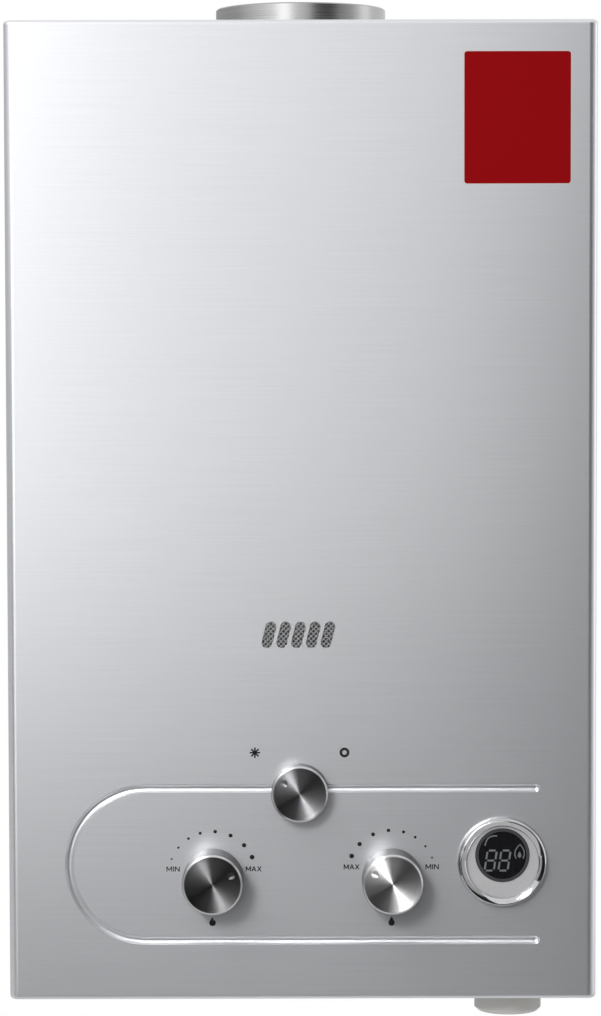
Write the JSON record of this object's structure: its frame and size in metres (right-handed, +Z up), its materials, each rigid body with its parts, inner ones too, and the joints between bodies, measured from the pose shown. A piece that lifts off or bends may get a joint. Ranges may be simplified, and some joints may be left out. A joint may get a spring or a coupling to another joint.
{
  "type": "wall-hung instantaneous gas water heater",
  "caption": "Upright brushed-steel instantaneous gas water heater for a wall, with turning control knobs, a round display, a flue collar on top and pipe stubs below.",
  "frame": {"origin": "centre of the four wall-fixing holes, on the back plate's wall face", "axes": "+Z up, +Y into the wall, so the front faces -Y and +X is to the right as seen from the front"},
  "size_m": [0.3352, 0.173, 0.5807],
  "materials": {
    "cover_steel": "horizontally brushed stainless sheet",
    "zinc_sheet": "plain zinc-coated sheet",
    "screw_steel": "bright zinc plate",
    "knob_metal": "spun, polished at the rim",
    "black_plastic": "fine matt",
    "grey_plastic": "satin moulded",
    "silver_plastic": "silver satin",
    "dark_lens": "polished",
    "bright_chrome": "mirror",
    "valve_brass": "machined",
    "copper": null,
    "cast_alloy": "die-cast",
    "ceramic_white": null,
    "black_rubber": "moulded",
    "spring_wire": "drawn wire",
    "cell_jacket": "printed jacket, left plain",
    "mesh_steel": "dark perforated sheet"
  },
  "bodies": {
    "casing": {"front_cover": "cover_steel", "sight_mesh": "mesh_steel", "back_plate": "zinc_sheet", "top_plate": "zinc_sheet", "bottom_plate": "zinc_sheet", "cover_screws": "screw_steel", "flue_collar": "zinc_sheet", "flue_hood": "zinc_sheet", "combustion_chamber": "copper", "exchanger_brackets": "zinc_sheet", "heat_fins": "copper", "heat_tubes": "copper", "cold_pipe": "copper", "hot_pipe": "copper", "overheat_thermostat": "black_plastic", "burner_frame": "zinc_sheet", "burner_bars": "zinc_sheet", "gas_manifold": "cast_alloy", "injector_nozzles": "valve_brass", "electrode_bracket": "zinc_sheet", "electrode_ceramics": "ceramic_white", "electrode_pins": "spring_wire", "gas_valve_body": "cast_alloy", "solenoid_valve": "black_plastic", "return_spring": "spring_wire", "microswitch": "black_plastic", "diaphragm_cover": "valve_brass", "diaphragm": "black_rubber", "water_valve_body": "valve_brass", "valve_screws": "screw_steel", "gas_inlet_fitting": "valve_brass", "water_inlet_fitting": "valve_brass", "hot_outlet_fitting": "valve_brass", "igniter_box": "black_plastic", "display_bezel": "bright_chrome", "display_face": "silver_plastic", "display_window": "dark_lens", "display_module": "black_plastic", "display_nut": "black_plastic", "battery_tube": "black_plastic", "battery_cells": "cell_jacket", "battery_spring": "spring_wire"},
    "selector": {"selector_knob": "knob_metal", "selector_knob_core": "black_plastic", "selector_spindle": "valve_brass"},
    "gas_regulator": {"gas_knob": "knob_metal", "gas_knob_core": "black_plastic", "gas_spindle": "valve_brass"},
    "water_regulator": {"water_knob": "knob_metal", "water_knob_core": "black_plastic", "water_spindle": "valve_brass"},
    "battery_cap": {"battery_cap": "grey_plastic"},
    "lift_rod": {"push_rod": "valve_brass", "gas_poppet": "black_rubber", "diaphragm_plate": "valve_brass"},
    "switch_button": {"switch_button": "grey_plastic"}
  },
  "joints": [
    {"name": "selector_turn", "type": "hinge", "parent": "casing", "child": "selector", "pos_m": [-0.0015, -0.15, -0.157], "axis": [0, 1, 0], "range_deg": [0, 112]},
    {"name": "gas_turn", "type": "hinge", "parent": "casing", "child": "gas_regulator", "pos_m": [-0.0504, -0.15, -0.2063], "axis": [0, 1, 0], "range_deg": [-130, 0]},
    {"name": "water_turn", "type": "hinge", "parent": "casing", "child": "water_regulator", "pos_m": [0.0504, -0.15, -0.2063], "axis": [0, 1, 0], "range_deg": [0, 124]},
    {"name": "battery_cap_twist", "type": "hinge", "parent": "casing", "child": "battery_cap", "pos_m": [0.1186, -0.106, -0.28], "axis": [0, 0, 1], "range_deg": [0, 90]},
    {"name": "rod_lift", "type": "slide", "parent": "casing", "child": "lift_rod", "axis": [-1, 0, 0], "range_m": [0, 0.004], "stiffness_N_per_m": 400, "springref_m": -0.004, "deforming": ["return_spring"]},
    {"name": "button_press", "type": "slide", "parent": "casing", "child": "switch_button", "axis": [-1, 0, 0], "range_m": [0, 0.004]}
  ],
  "couplings": [
    {"joint": "button_press", "follows": "rod_lift", "ratio": 1}
  ]
}
